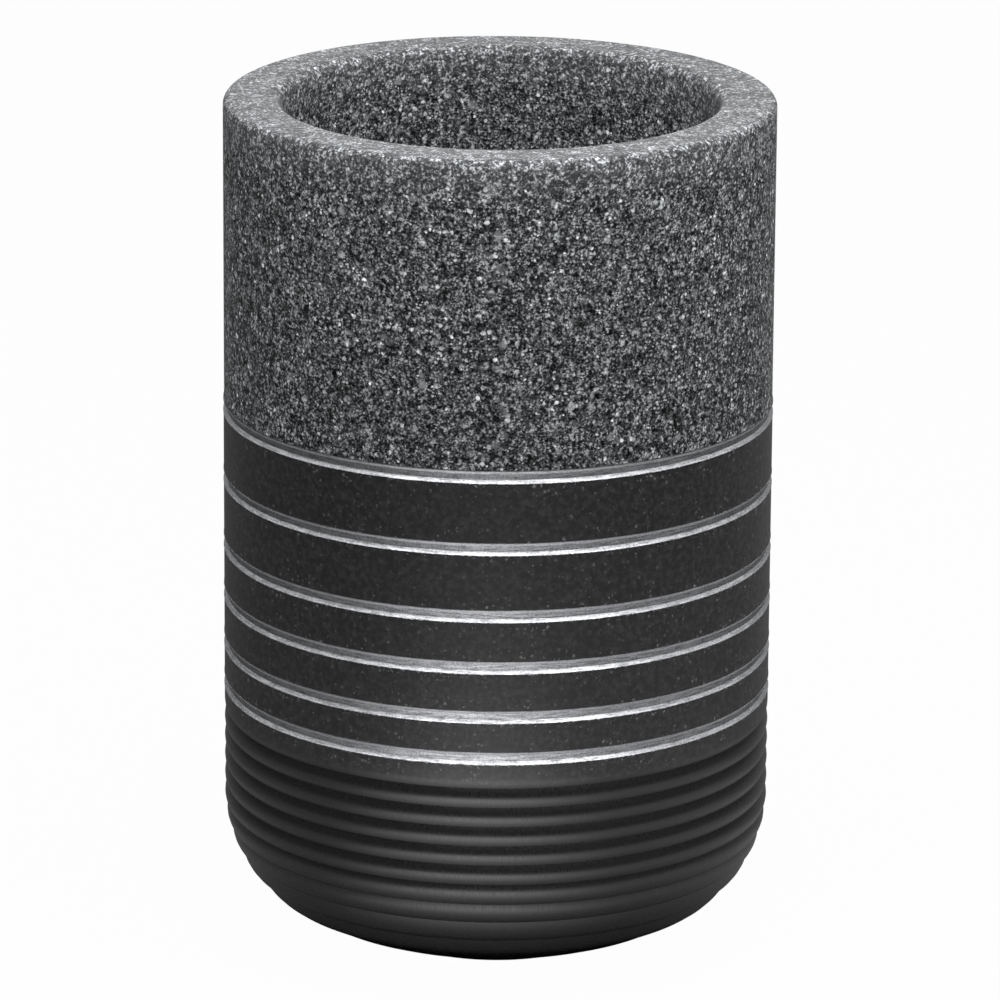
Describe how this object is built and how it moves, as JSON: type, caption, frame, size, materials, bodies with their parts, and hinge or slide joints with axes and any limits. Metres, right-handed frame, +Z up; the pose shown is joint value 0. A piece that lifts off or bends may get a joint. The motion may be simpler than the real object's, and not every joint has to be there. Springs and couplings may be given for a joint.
{
  "type": "bathroom tumbler",
  "caption": "Straight round bathroom tumbler in stone-effect resin, its lower half lacquered black with silver lines over a ribbed, rounded foot.",
  "frame": {"origin": "on the tumbler's axis, at the underside of the anti-slip pad that it stands on", "axes": "+Z up along the tumbler's axis, from the pad to the rim; the tumbler is round, so +X and +Y are any two level directions"},
  "size_m": [0.0708, 0.0708, 0.1111],
  "materials": {
    "stone_resin": "cast polyester resin with grey, white and black stone grit, matt",
    "black_lacquer": "sprayed anthracite lacquer, satin",
    "silver_paint": "hand-run metallic paint",
    "pad_foam": "closed-cell EVA foam, matt",
    "adhesive": "double-sided acrylic adhesive film"
  },
  "bodies": {
    "root": {"cup_body": "stone_resin", "black_coat": "black_lacquer", "silver_line_1": "silver_paint", "silver_line_2": "silver_paint", "silver_line_3": "silver_paint", "silver_line_4": "silver_paint", "silver_line_5": "silver_paint", "silver_line_6": "silver_paint", "base_pad": "pad_foam", "pad_film": "adhesive"}
  },
  "joints": []
}
